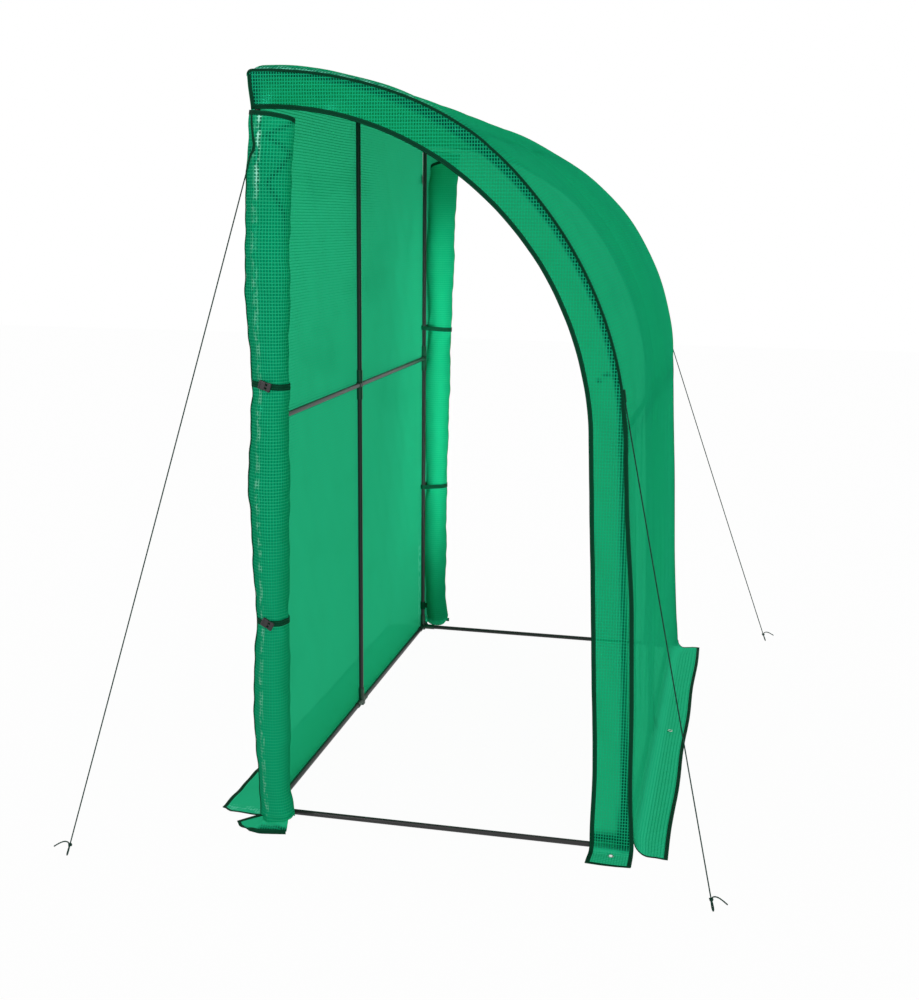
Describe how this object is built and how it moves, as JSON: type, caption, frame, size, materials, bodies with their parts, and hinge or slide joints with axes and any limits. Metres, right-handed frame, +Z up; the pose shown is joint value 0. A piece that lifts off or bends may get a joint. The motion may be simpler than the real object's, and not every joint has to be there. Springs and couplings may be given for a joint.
{
  "type": "lean-to greenhouse",
  "caption": "Walk-in lean-to greenhouse: arched tube frame under a translucent green grid-cloth cover, end curtains rolled up, ground skirts and guy ropes.",
  "frame": {"origin": "on the ground under the middle post of the wall side, at the middle of the sole of its base tee", "axes": "+X from the wall to the front, +Y along the length, +Z up"},
  "size_m": [1.8214, 2.4998, 1.997],
  "materials": {
    "tube": "satin dark grey powder coat",
    "connector": "moulded dark green",
    "cloth": "grid-reinforced translucent green sheeting",
    "webbing": "woven dark green tape",
    "buckle": "moulded black",
    "eyelet": "pressed metal",
    "rope": "braided dark green cord"
  },
  "bodies": {
    "root": {"wall_post_near": "tube", "wall_post_middle": "tube", "wall_post_far": "tube", "arch_near": "tube", "arch_middle": "tube", "arch_far": "tube", "front_leg_near": "tube", "front_leg_middle": "tube", "front_leg_far": "tube", "wall_base_rail": "tube", "front_base_rail": "tube", "end_sill_near": "tube", "end_sill_far": "tube", "wall_middle_rail": "tube", "front_middle_rail": "tube", "top_rail": "tube", "roof_purlin": "tube", "wall_corner_joints": "connector", "front_corner_joints": "connector", "base_tees": "connector", "wall_rail_joints": "connector", "leg_joints": "connector", "top_joints": "connector", "purlin_joints": "connector", "wall_sheet": "cloth", "roof_sheet": "cloth", "front_sheet": "cloth", "arch_strip_near": "cloth", "arch_strip_far": "cloth", "leg_strips": "cloth", "wall_skirt": "cloth", "front_skirt": "cloth", "strip_flaps": "cloth", "rolled_door_near": "cloth", "rolled_door_far": "cloth", "door_flaps": "cloth", "door_straps": "webbing", "strap_buckles": "buckle", "post_ties": "webbing", "peg_eyelets": "eyelet", "rope_tabs": "webbing", "guy_rope_wall_near": "rope", "guy_rope_wall_far": "rope", "guy_rope_front_near": "rope", "guy_rope_front_far": "rope"}
  },
  "joints": []
}
